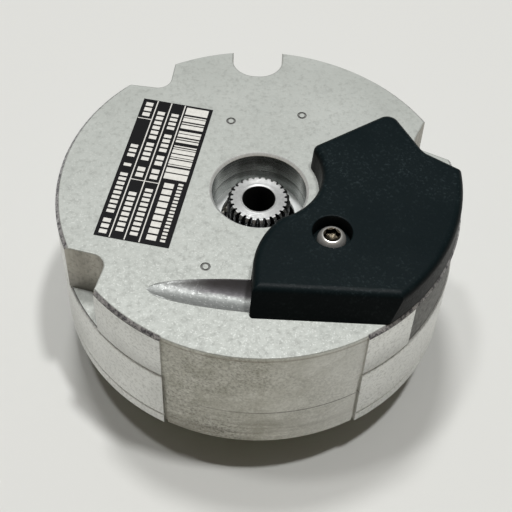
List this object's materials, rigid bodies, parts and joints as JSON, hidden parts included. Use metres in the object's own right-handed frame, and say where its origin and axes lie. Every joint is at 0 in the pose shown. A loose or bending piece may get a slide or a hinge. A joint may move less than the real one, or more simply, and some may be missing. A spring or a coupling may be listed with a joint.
{
  "type": "rotary encoder",
  "caption": "Round cast rotary encoder with a hollow taper shaft, a geared turn counter and a black cable cover.",
  "frame": {"origin": "shaft axis in the plane of the housing's mounting face", "axes": "+Z along the shaft towards the cable cover, -Y towards the housing's unturned front segment, +X towards the cover"},
  "size_m": [0.065, 0.0646, 0.0388],
  "materials": {
    "cast_aluminium": "fine cast skin, turned on the outside",
    "black_plastic": "fine texture, matt",
    "blackened_steel": "blackened, semi-matt",
    "label_film": "printed film, satin",
    "shield_plastic": "smooth, light",
    "board_green": "solder mask, satin",
    "copper": "plated, bright",
    "zinc_steel": "zinc plated",
    "brass": "turned, bright",
    "chip_epoxy": "moulded, matt",
    "connector_black": "moulded, satin",
    "carrier_plastic": "glass filled, matt",
    "shaft_steel": "turned, bright",
    "gold_contacts": "plated, bright",
    "gear_plastic": "moulded, satin",
    "magnet": "nickel plated, dull"
  },
  "bodies": {
    "stator": {"housing": "cast_aluminium", "cable_cover": "black_plastic", "cover_screw": "blackened_steel", "nameplate": "label_film", "dust_shield": "shield_plastic", "scanning_board": "board_green", "scanning_coils": "copper", "scanning_board_screws": "zinc_steel", "board_spacers": "brass", "main_board": "board_green", "signal_chips": "chip_epoxy", "board_link_header": "connector_black", "gear_carrier": "carrier_plastic", "carrier_screws": "zinc_steel", "gear_axle_pins": "shaft_steel", "turn_counter_board": "board_green", "hall_sensors": "chip_epoxy", "counter_board_screws": "zinc_steel", "board_connector": "connector_black", "connector_pins": "gold_contacts"},
    "rotor": {"taper_shaft": "shaft_steel", "rotor_hub": "shaft_steel", "rotor_disc": "board_green", "rotor_tracks": "copper"},
    "stage_1": {"stage_1_wheel": "gear_plastic", "stage_1_magnet": "magnet"},
    "stage_2": {"stage_2_wheel": "gear_plastic", "stage_2_magnet": "magnet"},
    "stage_3": {"stage_3_wheel": "gear_plastic", "stage_3_magnet": "magnet"}
  },
  "joints": [
    {"name": "rotor_spin", "type": "hinge", "parent": "stator", "child": "rotor", "pos_m": [0, 0, 0], "axis": [0, 0, 1], "continuous": true},
    {"name": "stage_1_spin", "type": "hinge", "parent": "stator", "child": "stage_1", "pos_m": [-0.00219, 0.01241, 0.0126], "axis": [0, 0, 1], "continuous": true},
    {"name": "stage_2_spin", "type": "hinge", "parent": "stator", "child": "stage_2", "pos_m": [-0.01139, 0.00848, 0.0126], "axis": [0, 0, 1], "continuous": true},
    {"name": "stage_3_spin", "type": "hinge", "parent": "stator", "child": "stage_3", "pos_m": [-0.01415, -0.00112, 0.0126], "axis": [0, 0, 1], "continuous": true}
  ],
  "couplings": [
    {"joint": "stage_1_spin", "follows": "rotor_spin", "ratio": -0.8},
    {"joint": "stage_2_spin", "follows": "rotor_spin", "ratio": 0.2},
    {"joint": "stage_3_spin", "follows": "rotor_spin", "ratio": -0.05}
  ]
}
